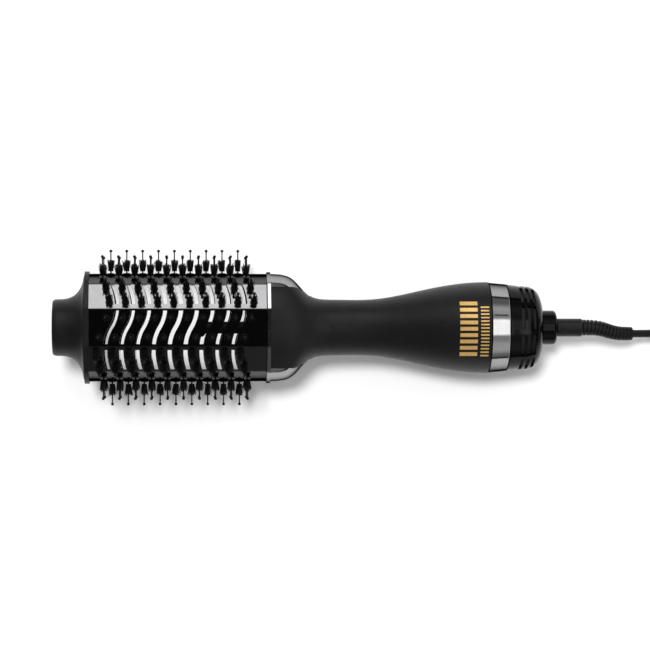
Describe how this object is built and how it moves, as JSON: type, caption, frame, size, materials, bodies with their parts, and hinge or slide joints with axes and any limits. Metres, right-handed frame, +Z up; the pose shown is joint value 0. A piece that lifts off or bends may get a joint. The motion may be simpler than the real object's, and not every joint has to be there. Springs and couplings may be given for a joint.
{
  "type": "hot air brush",
  "caption": "Corded oval hot air brush with a vented mirror barrel, ball-tipped bristles, a tapered round handle, a rear selector ring and a slotted air intake.",
  "frame": {"origin": "bottom centre of the brush's box as it lies on a flat surface, without the cord and what is on it", "axes": "+X along the brush from the tip of its head towards the cord, +Y across the wide way of the head, +Z up, out of the head's front face"},
  "size_m": [0.6202, 0.1419, 0.0883],
  "materials": {
    "soft_touch": "soft-touch matte black",
    "gloss_black": "polished black",
    "barrel_finish": "dark mirror-finished coating",
    "bright_trim": "bright plated",
    "bristle_nylon": "black nylon",
    "inner_plastic": "black heat-resistant moulding",
    "steel": "plain steel",
    "mica": "pressed mica sheet",
    "heating_alloy": "resistance wire",
    "aluminium_can": "plain aluminium",
    "contact_brass": "plain brass",
    "circuit_board": "green board",
    "filter_mesh": "fine black mesh",
    "cord_jacket": "satin black",
    "strap": "black woven strap",
    "test_colour": "yellow",
    "reset_colour": "red"
  },
  "bodies": {
    "root": {"air_deflector": "inner_plastic", "barrel": "barrel_finish", "bristle_row_01": "bristle_nylon", "bristle_row_02": "bristle_nylon", "bristle_row_03": "bristle_nylon", "bristle_row_04": "bristle_nylon", "bristle_row_05": "bristle_nylon", "bristle_row_06": "bristle_nylon", "bristle_row_07": "bristle_nylon", "bristle_row_08": "bristle_nylon", "bristle_row_09": "bristle_nylon", "bristle_row_10": "bristle_nylon", "bristle_row_11": "bristle_nylon", "bristle_row_12": "bristle_nylon", "bristle_row_13": "bristle_nylon", "bristle_row_14": "bristle_nylon", "bristle_row_15": "bristle_nylon", "bristle_row_16": "bristle_nylon", "bristle_row_17": "bristle_nylon", "bristle_row_18": "bristle_nylon", "collar": "bright_trim", "fan_duct": "inner_plastic", "handle_shell_back": "soft_touch", "handle_shell_front": "soft_touch", "heater_boards": "mica", "heater_sleeve": "steel", "heater_wire": "heating_alloy", "intake_cap": "gloss_black", "intake_filter": "filter_mesh", "motor": "steel", "rear_frame": "inner_plastic", "rectifier_board": "circuit_board", "root_carrier": "inner_plastic", "shell_screws": "steel", "switch_base": "inner_plastic", "swivel_housing": "gloss_black", "swivel_retainer": "inner_plastic", "thermal_fuse": "aluminium_can", "thermostat": "aluminium_can", "tip_cap": "soft_touch", "tip_carrier": "inner_plastic", "trim_ring": "bright_trim", "tufts_edge": "bristle_nylon", "tufts_middle": "bristle_nylon", "tufts_outer": "bristle_nylon"},
    "selector": {"selector_ring": "bright_trim", "index_mark": "inner_plastic", "switch_wiper": "contact_brass"},
    "rotor": {"motor_shaft": "steel", "impeller": "inner_plastic"},
    "lead": {"swivel_spool": "inner_plastic", "strain_relief": "cord_jacket", "cord": "cord_jacket", "cord_coil": "cord_jacket", "cord_to_plug": "cord_jacket", "coil_tie": "strap", "plug_body": "cord_jacket", "plug_blades": "contact_brass"},
    "test": {"test_button": "test_colour"},
    "reset": {"reset_button": "reset_colour"}
  },
  "joints": [
    {"name": "selector_turn", "type": "hinge", "parent": "root", "child": "selector", "pos_m": [0.13444, 0, 0.03157], "axis": [0.9984, 0, -0.0557], "range_deg": [0, 90]},
    {"name": "fan_spin", "type": "hinge", "parent": "root", "child": "rotor", "pos_m": [0.11487, 0, 0.03266], "axis": [0.9984, 0, -0.0557], "continuous": true},
    {"name": "lead_swivel", "type": "hinge", "parent": "root", "child": "lead", "pos_m": [0.16978, 0, 0.0296], "axis": [0.9984, 0, -0.0557], "continuous": true},
    {"name": "test_press", "type": "slide", "parent": "lead", "child": "test", "axis": [0, 0, -1], "range_m": [0, 0.0012], "stiffness_N_per_m": 800, "springref_m": -0.0006},
    {"name": "reset_press", "type": "slide", "parent": "lead", "child": "reset", "axis": [0, 0, -1], "range_m": [0, 0.0012], "stiffness_N_per_m": 800, "springref_m": -0.0006}
  ]
}
